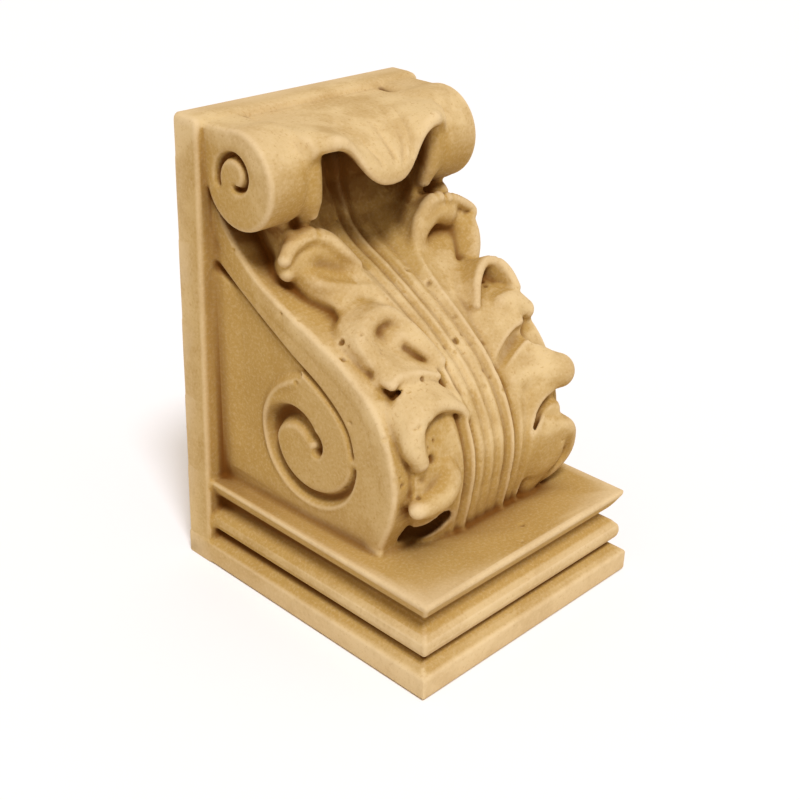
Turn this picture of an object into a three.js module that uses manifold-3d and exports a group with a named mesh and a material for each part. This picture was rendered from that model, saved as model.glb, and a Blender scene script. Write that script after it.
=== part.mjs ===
// Carved corbel, cast in one piece: a stepped slab, a wall plate that rises from its back edge, and
// between them a scrolled bracket with an acanthus leaf down its front.
// Millimetres, +Z up. The origin is the middle of the underside. The wall is at +Y, the front at -Y.
import * as THREE from "three";
import { mergeVertices } from "three/addons/utils/BufferGeometryUtils.js";
import Module from "manifold-3d";

const wasm = await Module();
wasm.setup();

// Driving dimensions of the whole casting.
const height = 250;
const width = 163.4;
const projection = 182.7;

// The wall plate: its thickness, the taper of each side edge over its height, and its worn top edge.
const plateThickness = 18;
const plateDraft = 5.2;
const plateTopWear = 14;
const plateTopDrop = 12;

// The stepped slab: its thickness, and the two grooves between its three tiers.
const slabThickness = 51.6;
const lowerTier = 13;
const lowerGroove = 18.5;
const middleTier = 25;
const upperGroove = 36.5;
const grooveInset = 10;
const tierInset = 3.6;

// The bracket: its half width at the plate, the taper toward the front, and its clearance behind
// the front edge of the slab.
const bracketHalfWidth = 68.2;
const bracketTaper = 5.6;
const bracketSetback = 40.3;
const edgeRound = 2.4;
const toeFillet = 7;
const fieldDepth = 6.5;
const plateStrip = 4;

// The two small scrolls at the top.
const scrollRadius = 25;
const scrollOuter = 72;
const scrollInner = 47;
const scrollOut = 24;
const scrollBelowTop = 26;

// The large spiral on each side of the bracket.
const ringRadius = 35.5;
const channelRadius = 30;
const channelEyeRadius = 5;
const channelDepth = 4;

// The leaf.
const stemHeight = 7;
const bladeHeight = 2.6;
const fluteHeight = 0.9;
const fluteCount = 7;
const leafRoot = 1.5;
const wallHeight = 28;
const hollowRise = 4;

// The turned-over tip: how far out it reaches, its wall, how far its edge drops, how far the middle
// lobe hangs below that, the half width of that lobe, and the fall of the strips at the scrolls.
const tipOut = 57;
const tipWall = 7;
const tipBelowTop = 4;
const tipDrop = 7;
const tipHang = 20;
const tipLobe = 29;
const tipStrip = 22;

// Free carving keeps its proportions as shares of the room between slab, plate and front.
const carvedReach = projection - plateThickness - bracketSetback;
const carvedHeight = height - slabThickness;

const outAt = (share) => plateThickness + share * carvedReach;
const upAt = (share) => slabThickness + share * carvedHeight;

// A point of the model from its place across, its distance out from the wall, and its height.
const place = (across, out, up) => [across, projection / 2 - out, up];

const smooth = (from, to, value) => {
  const t = Math.min(1, Math.max(0, (value - from) / (to - from)));
  return t * t * (3 - 2 * t);
};
const bump = (value, middle, spread) => Math.exp(-(((value - middle) / spread) ** 2));
const range = (count) => Array.from({ length: count + 1 }, (_, i) => i / count);

// Turns a closed triangle mesh into a solid, with its faces turned outward.
function solid(points, triangles) {
  const merged = new THREE.BufferGeometry();
  merged.setAttribute("position", new THREE.Float32BufferAttribute(points.flat(), 3));
  merged.setIndex(triangles.flat());
  return solidOf(merged);
}

function solidOf(geometry) {
  geometry.deleteAttribute("normal");
  geometry.deleteAttribute("uv");
  const merged = mergeVertices(geometry, 1e-4);
  const corners = merged.getAttribute("position");
  const index = Array.from(merged.getIndex().array);
  const a = new THREE.Vector3();
  const b = new THREE.Vector3();
  const c = new THREE.Vector3();
  let volume = 0;
  for (let i = 0; i < index.length; i += 3) {
    a.fromBufferAttribute(corners, index[i]);
    b.fromBufferAttribute(corners, index[i + 1]);
    c.fromBufferAttribute(corners, index[i + 2]);
    volume += a.dot(b.cross(c));
  }
  if (volume < 0) {
    index.reverse();
  }
  const kept = [];
  for (let i = 0; i < index.length; i += 3) {
    const [p, q, r] = index.slice(i, i + 3);
    if (p !== q && q !== r && r !== p) {
      kept.push(p, q, r);
    }
  }
  return new wasm.Manifold(new wasm.Mesh({
    numProp: 3,
    vertProperties: Float32Array.from(corners.array),
    triVerts: Uint32Array.from(kept),
  }));
}

// Joins rings of the same number of points into a closed skin, with both ends covered.
function loft(rings) {
  const size = rings[0].length;
  const points = rings.flat();
  const triangles = [];
  for (let r = 0; r + 1 < rings.length; r += 1) {
    for (let i = 0; i < size; i += 1) {
      const a = r * size + i;
      const b = r * size + ((i + 1) % size);
      triangles.push([a, b, b + size], [a, b + size, a + size]);
    }
  }
  const cover = (ring, offset, along) => {
    const faces = THREE.ShapeUtils.triangulateShape(flatten(ring), []);
    const follows = faces.some(([a, b, c]) => b === a + 1 || c === b + 1 || a === c + 1);
    for (const [a, b, c] of faces) {
      const corners = follows === along ? [a, b, c] : [c, b, a];
      triangles.push(corners.map((corner) => offset + corner));
    }
  };
  cover(rings[0], 0, false);
  cover(rings.at(-1), points.length - size, true);
  return solid(points, triangles);
}

function ringNormal(ring) {
  const normal = new THREE.Vector3();
  ring.forEach((p, i) => {
    const q = ring[(i + 1) % ring.length];
    normal.add(new THREE.Vector3(...p).cross(new THREE.Vector3(...q)));
  });
  return normal;
}

function mainAxis(ring) {
  const sizes = ringNormal(ring).toArray().map(Math.abs);
  return sizes.indexOf(Math.max(...sizes));
}

function flatten(ring) {
  const drop = mainAxis(ring);
  return ring.map((p) => new THREE.Vector2(p[(drop + 1) % 3], p[(drop + 2) % 3]));
}

// The outline of a rectangle from the wall side to a distance out.
const rectangle = (half, back, front, up) => [
  place(-half, back, up),
  place(half, back, up),
  place(half, front, up),
  place(-half, front, up),
];

// The slab: three tiers with soft grooves between them, mitred round the front corners.
function makeSlab() {
  const steps = [
    [0, 0],
    [0, lowerTier],
    [grooveInset * 0.6, lowerGroove - 1.5],
    [grooveInset, lowerGroove],
    [grooveInset * 0.6, lowerGroove + 1.5],
    [tierInset, middleTier],
    [tierInset, middleTier + 4],
    [grooveInset * 0.6, upperGroove - 4.5],
    [grooveInset * 1.25, upperGroove],
    [grooveInset * 1.1, upperGroove + 1.5],
    [grooveInset * 0.6, slabThickness - 8],
    [tierInset, slabThickness - 4.5],
    [tierInset * 0.7, slabThickness - 2],
    [tierInset, slabThickness],
  ];
  const back = plateThickness / 2;
  return loft(steps.map(([inset, up]) => rectangle(width / 2 - inset, back, projection - inset, up)));
}

// The wall plate: a flat board with tapered edges and a worn top edge.
function makePlate() {
  const shoulder = height - plateTopDrop;
  const narrow = (up) => width / 2 - plateDraft * (up / height);
  const worn = (share, up) => rectangle(
    narrow(up) - (plateTopWear / 3) * share ** 2,
    0,
    plateThickness - plateTopWear * share ** 2,
    up,
  );
  const rings = [rectangle(narrow(0), 0, plateThickness, 0)];
  for (const t of range(4)) {
    rings.push(worn(t, shoulder + plateTopDrop * Math.sin((t * Math.PI) / 2)));
  }
  return loft(rings);
}

// The front edge of the bracket, from the plate down to the slab, as shares out and up.
const sweep = new THREE.SplineCurve([
  [0, 0.808],
  [0.048, 0.748],
  [0.193, 0.645],
  [0.37, 0.577],
  [0.555, 0.526],
  [0.723, 0.473],
  [0.872, 0.402],
  [0.957, 0.312],
  [0.997, 0.204],
  [0.985, 0.113],
  [0.94, 0.032],
  [0.916, -0.02],
].map(([out, up]) => new THREE.Vector2(outAt(out), upAt(up))));
const sweepLength = sweep.getLength();

const halfAt = (out) => bracketHalfWidth - bracketTaper * ((out - plateThickness) / carvedReach);

// The bracket: the side profile carried across, with its edges rounded.
function makeBracket() {
  const inside = plateThickness / 2;
  const foot = slabThickness - 4;
  const edge = sweep.getSpacedPoints(30);
  const outline = [
    new THREE.Vector2(inside, foot),
    new THREE.Vector2(inside, upAt(0.9)),
    new THREE.Vector2(edge[0].x, upAt(0.9)),
    ...edge,
    new THREE.Vector2(edge.at(-1).x, foot),
  ];
  const middle = outline.reduce((sum, p) => sum.add(p), new THREE.Vector2()).divideScalar(outline.length);
  const ring = (side, inset, shrink) => outline.map((p) => {
    const inward = middle.clone().sub(p).setLength(shrink);
    return place(side * (halfAt(p.x) - inset), p.x + inward.x, p.y + inward.y);
  });
  return loft([
    ring(-1, 0, edgeRound),
    ring(-1, edgeRound, 0),
    ring(1, edgeRound, 0),
    ring(1, 0, edgeRound),
  ]);
}

// The soft foot where the bracket's sides and front meet the slab.
function makeToe() {
  const back = outAt(0.36);
  const front = outAt(0.935);
  const ring = (grow, up) => {
    const half = halfAt(front) + grow;
    return [
      place(-half, back - grow, up),
      place(half, back - grow, up),
      place(half, front - toeFillet, up),
      place(half - toeFillet * 0.6, front - toeFillet * 0.2 + grow, up),
      place(half - toeFillet * 2, front + grow, up),
      place(-half + toeFillet * 2, front + grow, up),
      place(-half + toeFillet * 0.6, front - toeFillet * 0.2 + grow, up),
      place(-half, front - toeFillet, up),
    ];
  };
  const rings = [ring(toeFillet, slabThickness - 2), ring(toeFillet, slabThickness + 0.2)];
  for (const t of range(3).slice(1)) {
    rings.push(ring(toeFillet * (1 - t) ** 2 - 0.8 * t, slabThickness + toeFillet * 1.4 * t));
  }
  return loft(rings);
}

// The sunk field on one side, between the plate, the band and the spiral.
function makeField(side) {
  const floor = bracketHalfWidth - fieldDepth;
  const beyond = bracketHalfWidth + fieldDepth;
  const left = plateThickness + plateStrip;
  const centre = ringCentre();
  const outline = [
    [left, slabThickness + 0.01],
    [left, upAt(0.6)],
    [outAt(0.18), upAt(0.537)],
    [outAt(0.3), upAt(0.487)],
    [outAt(0.4), upAt(0.447)],
  ];
  for (const t of range(8)) {
    const angle = THREE.MathUtils.degToRad(115 + 115 * t);
    outline.push([centre.x + ringRadius * Math.cos(angle), centre.y + ringRadius * Math.sin(angle)]);
  }
  outline.push([outAt(0.33), slabThickness + 0.01]);
  return loft([floor, beyond].map((x) => outline.map(([out, up]) => place(side * x, out, up))));
}

const ringCentre = () => new THREE.Vector2(outAt(0.535), upAt(0.222));

// A groove of varying width and depth along a path on one side face.
function makeGroove(side, path, surface) {
  const rings = path.map(({ at, ahead, half, deep }) => {
    const across = new THREE.Vector2(-ahead.y, ahead.x).setLength(half);
    const outer = surface(at) + 2;
    const inner = surface(at) - deep;
    return [
      place(side * outer, at.x + across.x * 1.3, at.y + across.y * 1.3),
      place(side * inner, at.x + across.x * 0.45, at.y + across.y * 0.45),
      place(side * inner, at.x - across.x * 0.45, at.y - across.y * 0.45),
      place(side * outer, at.x - across.x * 1.3, at.y - across.y * 1.3),
    ];
  });
  return loft(rings);
}

function withHeadings(points) {
  return points.map((p, i) => {
    const before = points[Math.max(0, i - 1)].at;
    const after = points[Math.min(points.length - 1, i + 1)].at;
    return { ...p, ahead: after.clone().sub(before) };
  });
}

// The spiral channel: round the ring below, then tightly into the eye.
function makeChannel(side) {
  const centre = ringCentre();
  const turn = THREE.MathUtils.degToRad(400);
  const path = range(28).map((t) => {
    const radius = channelEyeRadius + (channelRadius - channelEyeRadius) * (1 - smooth(0.42, 0.7, t));
    const angle = -turn * t;
    const wide = 1.6 + 1.4 * smooth(0, 0.2, t) + 2.2 * bump(t, 0.52, 0.1) - 1.3 * smooth(0.6, 1, t);
    return {
      at: new THREE.Vector2(centre.x + radius * Math.cos(angle), centre.y + radius * Math.sin(angle)),
      half: wide,
      deep: channelDepth * (0.5 + 0.5 * smooth(0, 0.15, t)),
    };
  });
  return makeGroove(side, withHeadings(path), (p) => halfAt(p.x));
}

// The thin groove between the band and the ring.
function makeBandGroove(side) {
  const curve = new THREE.SplineCurve([
    [-0.02, 0.628],
    [0.18, 0.541],
    [0.41, 0.45],
    [0.6, 0.392],
    [0.74, 0.335],
    [0.82, 0.24],
  ].map(([out, up]) => new THREE.Vector2(outAt(out), upAt(up))));
  const path = range(9).map((t) => ({
    at: curve.getPoint(t),
    half: 1.2 - 0.4 * t,
    deep: 2.6 * (1 - 0.6 * t),
  }));
  return makeGroove(side, withHeadings(path), (p) => halfAt(p.x));
}

// One small scroll: a roll along X whose strip runs back to the plate.
function makeScroll(side) {
  const centre = new THREE.Vector2(plateThickness + scrollOut, height - scrollBelowTop);
  const outline = range(18).map((t) => {
    const angle = THREE.MathUtils.degToRad(95 - 270 * t);
    return [centre.x + Math.cos(angle), centre.y + Math.sin(angle), Math.cos(angle), Math.sin(angle)];
  });
  const ring = (across, radius) => {
    const round = outline.map(([, , c, s]) => place(side * across, centre.x + radius * c, centre.y + radius * s));
    round.push(place(side * across, plateThickness - 4, centre.y - radius * 0.1));
    round.push(place(side * across, plateThickness - 4, centre.y + radius - 5));
    return round;
  };
  return loft([
    ring(scrollInner - 5, scrollRadius - 4),
    ring(scrollInner, scrollRadius - 3),
    ring(scrollInner + 3, scrollRadius),
    ring(scrollOuter - 2.5, scrollRadius),
    ring(scrollOuter, scrollRadius - 2.5),
  ]);
}

// The hook cut into the face of a small scroll.
function makeHook(side) {
  const centre = new THREE.Vector2(plateThickness + scrollOut, height - scrollBelowTop);
  const turn = THREE.MathUtils.degToRad(330);
  const start = THREE.MathUtils.degToRad(190);
  const path = range(15).map((t) => {
    const radius = scrollRadius * (0.56 - 0.4 * t);
    const angle = start - turn * t;
    return {
      at: new THREE.Vector2(centre.x - 2 + radius * Math.cos(angle), centre.y + 1 + radius * Math.sin(angle)),
      half: 1.7 - 0.5 * t,
      deep: 2.2,
    };
  });
  return makeGroove(side, withHeadings(path), () => scrollOuter);
}

// Lobes of the leaf, from the top: a cup each, given by its middle along the sweep and across, its
// half sizes, its lift, and how far its outer end is carried up the sweep.
const lobes = [
  { along: 0.29, across: 0.62, long: 25, wide: 23.5, lift: 27, carried: 0.35 },
  { along: 0.465, across: 0.66, long: 18, wide: 21, lift: 17, carried: 0.4 },
  { along: 0.555, across: 0.7, long: 12, wide: 18, lift: 14, carried: 0.3 },
  { along: 0.705, across: 0.66, long: 19, wide: 22, lift: 24, carried: 0.1 },
  { along: 0.845, across: 0.66, long: 15, wide: 22, lift: 18, carried: 0.3 },
];

// Vein lines run up beside the stem and turn out into the lobes. This gives where a vein leaves.
const leafFlow = 0.167;
const leafWaist = 0.33;
const veinExit = (along, across) => {
  const wide = Math.max(Math.abs(across), 0.02);
  return along - leafFlow * Math.log(1 + (leafWaist / wide) ** 2);
};

// One lobe: a rounded cup with a high rim above and outside, and a hollow inside that rim.
function lobeHeight({ along, across, long, wide, lift, carried }, at, aside) {
  const out = ((aside - across) * bracketHalfWidth) / wide;
  const down = ((at - along) * sweepLength) / long + carried * out;
  const far = Math.hypot(out, down);
  const inside = 1 - smooth(0.76, 1.06, far);
  const rimSide = 0.5 + (0.3 * out - 0.4 * down) / Math.max(far, 0.1);
  const rim = bump(far, 0.78, 0.2) * rimSide;
  const hollow = bump(Math.hypot(down + 0.2, out + 0.15), 0, 0.42);
  return lift * inside * (0.66 - 0.2 * far ** 2 + 0.45 * rim - 0.4 * hollow);
}

// Height of the carved leaf above the bracket's front, from shares along the sweep and across.
function leafHeight(along, across) {
  const aside = Math.abs(across);
  const exit = veinExit(along, across);
  const stem = stemHeight * bump(aside, 0, 0.34);
  const top = 1 - smooth(0.1, 0.2, along);
  const wall = wallHeight * smooth(0.42, 0.58, aside) * (1 - smooth(0.68, 0.74, aside)) * top;
  const hollow = hollowRise * top * (1 - smooth(0.3, 0.45, aside));
  const fluted = smooth(0.06, 0.14, aside) * (1 - smooth(0.3, 0.7, aside));
  const flutes = fluteHeight * Math.cos(2 * Math.PI * exit * fluteCount) * fluted;
  const kept = 1 - smooth(0.55, 0.7, aside);
  const blade = (bladeHeight + stem + flutes + hollow) * kept - leafRoot * (1 - kept);
  return Math.max(blade, wall - leafRoot, ...lobes.map((lobe) => lobeHeight(lobe, along, aside) - leafRoot));
}

// The top lobe's rolled edge, which hangs from the turned-over tip. Each step gives the place along
// the sweep, the share across, the lift above it and the radius.
const rolledEdge = [
  [0.135, 0.56, 46, 5.5],
  [0.18, 0.54, 33, 6],
  [0.2, 0.62, 26, 6.5],
  [0.225, 0.75, 25, 7.5],
  [0.25, 0.88, 23, 7],
  [0.27, 0.97, 18, 4],
];

// A round rope of changing radius, with a rounded start and end.
function makeRolledEdge(side, steps) {
  const middles = steps.map(([along, across, up]) => {
    const at = sweep.getPointAt(along);
    const ahead = sweep.getTangentAt(along);
    return new THREE.Vector3(...place(
      side * across * halfAt(at.x),
      at.x - ahead.y * up,
      at.y + ahead.x * up,
    ));
  });
  const curve = new THREE.CatmullRomCurve3(middles);
  const radii = new THREE.SplineCurve(steps.map(([, , , radius], i) => new THREE.Vector2(i, radius)));
  const count = 3 * (steps.length - 1);
  const frames = curve.computeFrenetFrames(count);
  const rings = range(count).map((t, i) => {
    const middle = curve.getPointAt(t);
    const radius = radii.getPoint(t).y * (i === 0 || i === count ? 0.45 : 1);
    return range(8).slice(1).map((turn) => {
      const angle = 2 * Math.PI * turn;
      const spoke = frames.normals[i].clone().multiplyScalar(radius * Math.cos(angle));
      return spoke.addScaledVector(frames.binormals[i], radius * Math.sin(angle)).add(middle).toArray();
    });
  });
  return loft(rings);
}

// The leaf: a skin over the sweep, closed by a back skin inside the bracket.
function makeLeaf() {
  const rows = 52;
  const columns = 40;
  const depthInside = 6;
  const grid = (inside) => range(rows).map((along) => {
    const at = sweep.getPointAt(along);
    const ahead = sweep.getTangentAt(along);
    const normal = new THREE.Vector2(-ahead.y, ahead.x);
    return range(columns).map((t) => {
      const share = Math.sign(2 * t - 1) * Math.abs(2 * t - 1) ** 1.15 * 0.97;
      const lift = inside ? -depthInside : leafHeight(along, share);
      const half = halfAt(at.x) * share;
      return place(half, at.x + normal.x * lift, at.y + normal.y * lift);
    });
  });
  return closeSkin(grid(false), grid(true));
}

// Closes two facing grids of points into one body.
function closeSkin(front, back) {
  const rows = front.length;
  const columns = front[0].length;
  const points = [...front.flat(), ...back.flat()];
  const shift = rows * columns;
  const triangles = [];
  const quad = (a, b, c, d) => triangles.push([a, b, c], [a, c, d]);
  const otherQuad = (a, b, c, d) => triangles.push([b, c, d], [b, d, a]);
  for (let r = 0; r + 1 < rows; r += 1) {
    for (let c = 0; c + 1 < columns; c += 1) {
      const a = r * columns + c;
      const split = 2 * c < columns - 1 ? quad : otherQuad;
      split(a, a + 1, a + columns + 1, a + columns);
      quad(shift + a, shift + a + columns, shift + a + columns + 1, shift + a + 1);
    }
  }
  for (let r = 0; r + 1 < rows; r += 1) {
    const a = r * columns;
    const b = a + columns - 1;
    quad(a, a + columns, shift + a + columns, shift + a);
    quad(b, shift + b, shift + b + columns, b + columns);
  }
  for (let c = 0; c + 1 < columns; c += 1) {
    const a = c;
    const b = (rows - 1) * columns + c;
    quad(a, shift + a, shift + a + 1, a + 1);
    quad(b, b + 1, shift + b + 1, shift + b);
  }
  return solid(points, triangles);
}

// The tip of the leaf, turned over forward between the scrolls, with a scalloped edge: a middle
// lobe that hangs down, an arch on each side of it, and a strip down beside each scroll.
function makeTip() {
  const root = plateThickness - 4;
  const rings = range(28).map((t) => {
    const across = (scrollInner + 1) * (2 * t - 1);
    const aside = Math.abs(across);
    const hang = tipHang * (1 - smooth(0, tipLobe, aside)) + tipStrip * smooth(40, 46, aside);
    const drop = tipDrop + hang;
    const top = range(8).map((k) => {
      const angle = (k * Math.PI) / 2;
      return place(
        across,
        root + (tipOut + 4) * Math.sin(angle) ** 1.1,
        height - tipBelowTop - drop * (1 - Math.cos(angle)) ** 1.5,
      );
    });
    const under = range(6).map((k) => {
      const angle = ((1 - k) * Math.PI) / 2;
      return place(
        across,
        root + (tipOut + 4 - tipWall) * Math.sin(angle) ** 1.1,
        height - tipBelowTop - tipWall - 2 - (drop - 5) * (1 - Math.cos(angle)) ** 1.5,
      );
    });
    return [...top, ...under];
  });
  return loft(rings);
}

function makeCorbel() {
  let casting = makePlate().add(makeSlab());
  let bracket = makeBracket();
  for (const side of [-1, 1]) {
    bracket = bracket.subtract(makeField(side));
    bracket = bracket.subtract(makeChannel(side));
    bracket = bracket.subtract(makeBandGroove(side));
  }
  casting = casting.add(bracket).add(makeToe()).add(makeLeaf());
  for (const side of [-1, 1]) {
    casting = casting.add(makeScroll(side).subtract(makeHook(side)));
    casting = casting.add(makeRolledEdge(side, rolledEdge));
  }
  return casting.add(makeTip());
}

function geometryOf(casting) {
  const { vertProperties, triVerts } = casting.getMesh();
  const geometry = new THREE.BufferGeometry();
  geometry.setAttribute("position", new THREE.Float32BufferAttribute(vertProperties, 3));
  geometry.setIndex(Array.from(triVerts));
  return geometry;
}

const castStone = new THREE.MeshStandardMaterial({ color: 0xd3b787, roughness: 0.85, metalness: 0 });
const corbel = new THREE.Mesh(geometryOf(makeCorbel()), castStone);
corbel.name = "corbel";

const group = new THREE.Group();
group.add(corbel);

export default group;
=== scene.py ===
import math
import bpy
import numpy as np
from mathutils import Matrix, Vector


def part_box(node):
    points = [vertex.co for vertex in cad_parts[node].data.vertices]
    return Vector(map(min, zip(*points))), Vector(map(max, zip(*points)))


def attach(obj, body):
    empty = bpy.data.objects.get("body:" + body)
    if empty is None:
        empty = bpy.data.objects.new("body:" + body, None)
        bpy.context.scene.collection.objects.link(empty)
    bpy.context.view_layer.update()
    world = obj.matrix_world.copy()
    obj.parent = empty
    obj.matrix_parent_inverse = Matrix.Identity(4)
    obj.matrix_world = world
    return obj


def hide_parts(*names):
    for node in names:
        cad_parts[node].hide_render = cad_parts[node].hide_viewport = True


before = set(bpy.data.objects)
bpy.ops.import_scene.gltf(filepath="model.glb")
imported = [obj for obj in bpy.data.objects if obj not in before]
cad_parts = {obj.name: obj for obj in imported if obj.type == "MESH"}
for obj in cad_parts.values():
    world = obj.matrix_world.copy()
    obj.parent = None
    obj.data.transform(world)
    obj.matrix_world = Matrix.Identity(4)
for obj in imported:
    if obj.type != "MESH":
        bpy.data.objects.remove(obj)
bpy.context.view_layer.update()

# The stepped slab: the flat foot of the casting, three tiers with soft grooves between them. The
# whole casting is worked out as a block of distances to its surface, in millimetres, negative
# inside: `across` runs out from the middle plane, `out` from the wall and `up` from the underside.
MM = 0.001
low, high = (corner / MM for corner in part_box("corbel"))
width, projection, height = high - low

grain = 0.9
margin = 4
across = (np.arange(int((width / 2 + margin) / grain)) + 0.5) * grain
out = np.arange(-margin, projection + margin, grain)
up = np.arange(-margin, height + margin, grain)
at_across = across[:, None, None].astype(np.float32)
at_out = out[None, :, None].astype(np.float32)
at_up = up[None, None, :].astype(np.float32)


def soft_max(a, b, soften):
    """The larger of two distances, rounded over where they are nearly alike."""
    share = np.clip(0.5 + 0.5 * (a - b) / soften, 0, 1)
    return b + (a - b) * share + soften * share * (1 - share)


# Each pair of the slab's profile is a height and how far in its side stands there.
slab_top = 51.6
slab_corner_soft = 1.2
slab_top_soft = 1.0
slab_profile = [
    (0, 1.6), (1.2, 0), (12, 0), (13.2, 1.5), (16.5, 6.5), (18.5, 10), (20, 6.5), (22, 4.2),
    (25, 3.4), (29, 3.8), (32, 6.5), (35, 11.5), (36.5, 12.5), (38.5, 11), (41, 8.2), (44, 6.2),
    (47, 4.6), (49.5, 3.2), (51.6, 3.4),
]
inset = np.interp(up, *zip(*slab_profile))[None, None, :]
casting = soft_max(at_across - (width / 2 - inset), at_out - (projection - inset), slab_corner_soft)
casting = soft_max(casting, at_up - slab_top, slab_top_soft)
casting = np.maximum(casting, np.maximum(-at_out, -at_up)).astype(np.float32)

# The wall plate: a flat board that rises from the back of the slab. Its side edges lean in a
# little, and its top edge is worn down toward the front.
plate_thickness = 18
plate_lean = 5.2
top_wear = 6
top_drop = 5
plate_corner_soft = 2.4
plate_top_soft = 1.5
plate_foot_soft = 2.5


def soft_min(a, b, soften):
    """The smaller of two distances, filled in where they are nearly alike."""
    return -soft_max(-a, -b, soften)


worn = np.arcsin(np.clip((up - height + top_drop) / top_drop, 0, 1)) / (math.pi / 2)
half_plate = width / 2 - plate_lean * up / height - top_wear / 3 * worn ** 2
plate_front = plate_thickness - top_wear * worn ** 2
plate = soft_max(
    at_across - half_plate[None, None, :], at_out - plate_front[None, None, :], plate_corner_soft
)
plate = np.maximum(soft_max(plate, at_up - height, plate_top_soft), np.maximum(-at_out, -at_up))
casting = soft_min(casting, plate, plate_foot_soft)

# The bracket: an S-shaped web between slab and plate. Its front edge sweeps out and down from the
# plate to the slab, and each side has a sunk field, a band along the sweep and a large spiral.
carved_reach = 124.4
carved_height = height - slab_top
half_bracket = 68.2
bracket_taper = 5.6
bracket_edge_soft = 2.2
bracket_foot_soft = 3.5
samples_per_point = 40
sweep_steps = 1400


def smooth(start, end, value):
    """A smooth step from 0 at the start to 1 at the end."""
    t = np.clip((value - start) / (end - start), 0, 1)
    return t * t * (3 - 2 * t)


def bump(value, middle, spread):
    """A smooth hump, 1 high at its middle."""
    return np.exp(-(((value - middle) / spread) ** 2))


def at_share(share_out, share_up):
    """The place, out from the wall and up, at shares of the carved part's reach and height."""
    return plate_thickness + share_out * carved_reach, slab_top + share_up * carved_height


def curve_through(points, count):
    """A smooth curve through points, with its distances from one to the next kept even."""
    points = np.array(points, float)
    ends = np.vstack([2 * points[0] - points[1], points, 2 * points[-1] - points[-2]])
    t = np.linspace(0, len(points) - 1 - 1e-9, samples_per_point * len(points))
    i = t.astype(int)
    f = (t - i)[:, None]
    a, b, c, d = (ends[i + k] for k in range(4))
    bend = 2 * a - 5 * b + 4 * c - d
    twist = 3 * b - a - 3 * c + d
    line = 0.5 * (2 * b + (c - a) * f + bend * f ** 2 + twist * f ** 3)
    run = np.r_[0, np.cumsum(np.linalg.norm(np.diff(line, axis=0), axis=1))]
    even = np.linspace(0, run[-1], count)
    return np.stack([np.interp(even, run, line[:, k]) for k in range(points.shape[1])], axis=1)


def nearest_on(line, first, second):
    """For each place of a plane grid: the share along the line, and the distance, + on its left."""
    share = np.empty((len(first), len(second)))
    far = np.empty_like(share)
    heading = np.gradient(line, axis=0)
    for row, value in enumerate(first):
        offset_a = value - line[:, 0][:, None]
        offset_b = second[None, :] - line[:, 1][:, None]
        square = offset_a ** 2 + offset_b ** 2
        best = square.argmin(axis=0)
        column = np.arange(len(second))
        side = heading[best, 0] * offset_b[best, column] - heading[best, 1] * offset_a[best, 0]
        share[row] = best / (len(line) - 1)
        far[row] = np.sqrt(square[best, column]) * np.where(side < 0, -1, 1)
    return share, far


# The sweep of the front edge, and for each place of the side view how far it lies in front of it.
sweep = curve_through([at_share(*p) for p in (
    (0, 0.808), (0.048, 0.748), (0.193, 0.645), (0.37, 0.577), (0.555, 0.526), (0.723, 0.473),
    (0.872, 0.402), (0.957, 0.312), (0.997, 0.204), (0.985, 0.113), (0.94, 0.032), (0.916, -0.02),
)], sweep_steps)
sweep_length = np.linalg.norm(np.diff(sweep, axis=0), axis=1).sum()
along, lift = nearest_on(sweep, out, up)
foot_out = np.interp(along, np.linspace(0, 1, len(sweep)), sweep[:, 0])
half_here = half_bracket - bracket_taper * (foot_out - plate_thickness) / carved_reach
half_side = (half_bracket - bracket_taper * (out - plate_thickness) / carved_reach)[:, None]

ring = at_share(0.535, 0.222)
ring_radius = 35.5
plane_out, plane_up = out[:, None], up[None, :]
from_ring = np.hypot(plane_out - ring[0], plane_up - ring[1])
ring_turn = np.degrees(np.arctan2(plane_up - ring[1], plane_out - ring[0]))

# The groove between band and ring, widest and deepest at the plate.
groove_wide_at_plate = 1.8
groove_narrows = 0.5
groove_deep_at_plate = 4.4
groove_shallows = 0.45
groove_ends = 0.96
band_steps = 500
band_line = curve_through([at_share(*p) for p in (
    (-0.02, 0.628), (0.18, 0.541), (0.41, 0.45), (0.6, 0.383), (0.725, 0.31), (0.772, 0.222),
)], band_steps)
band_share, band_far = nearest_on(band_line, out, up)
groove_wide = groove_wide_at_plate - groove_narrows * band_share
groove_deep = groove_deep_at_plate * (1 - groove_shallows * band_share)
groove = groove_deep * np.exp(-(band_far / groove_wide) ** 2)
relief = groove * (1 - smooth(groove_ends, 1, band_share))

# The sunk field below the band, between ring and plate. It fades out toward slab and plate.
field_depth = 2.6
below_band = smooth(0.5, 3.5, -band_far)
outside_ring = smooth(ring_radius - 1.5, ring_radius + 3.5, from_ring)
wall_side = np.where((ring_turn > 100) | (ring_turn < -125), 1, 0)
off_slab = smooth(ring[1] - 36, ring[1] - 6, plane_up)
off_plate = smooth(plate_thickness + 1, plate_thickness + 16, plane_out)
fading = off_slab * off_plate
relief = relief + field_depth * below_band * outside_ring * wall_side * fading

# The ring's raised outer ridge, strongest on the wall's side and below.
ring_ridge_high = 1.3
ring_ridge_in = 2.5
ring_ridge_wide = 2.2
ridge_turn = smooth(-30, -70, ring_turn) + smooth(95, 125, ring_turn)
ring_ridge = np.exp(-((from_ring - ring_radius + ring_ridge_in) / ring_ridge_wide) ** 2)
relief = relief - ring_ridge_high * ring_ridge * np.clip(ridge_turn, 0, 1)

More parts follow.
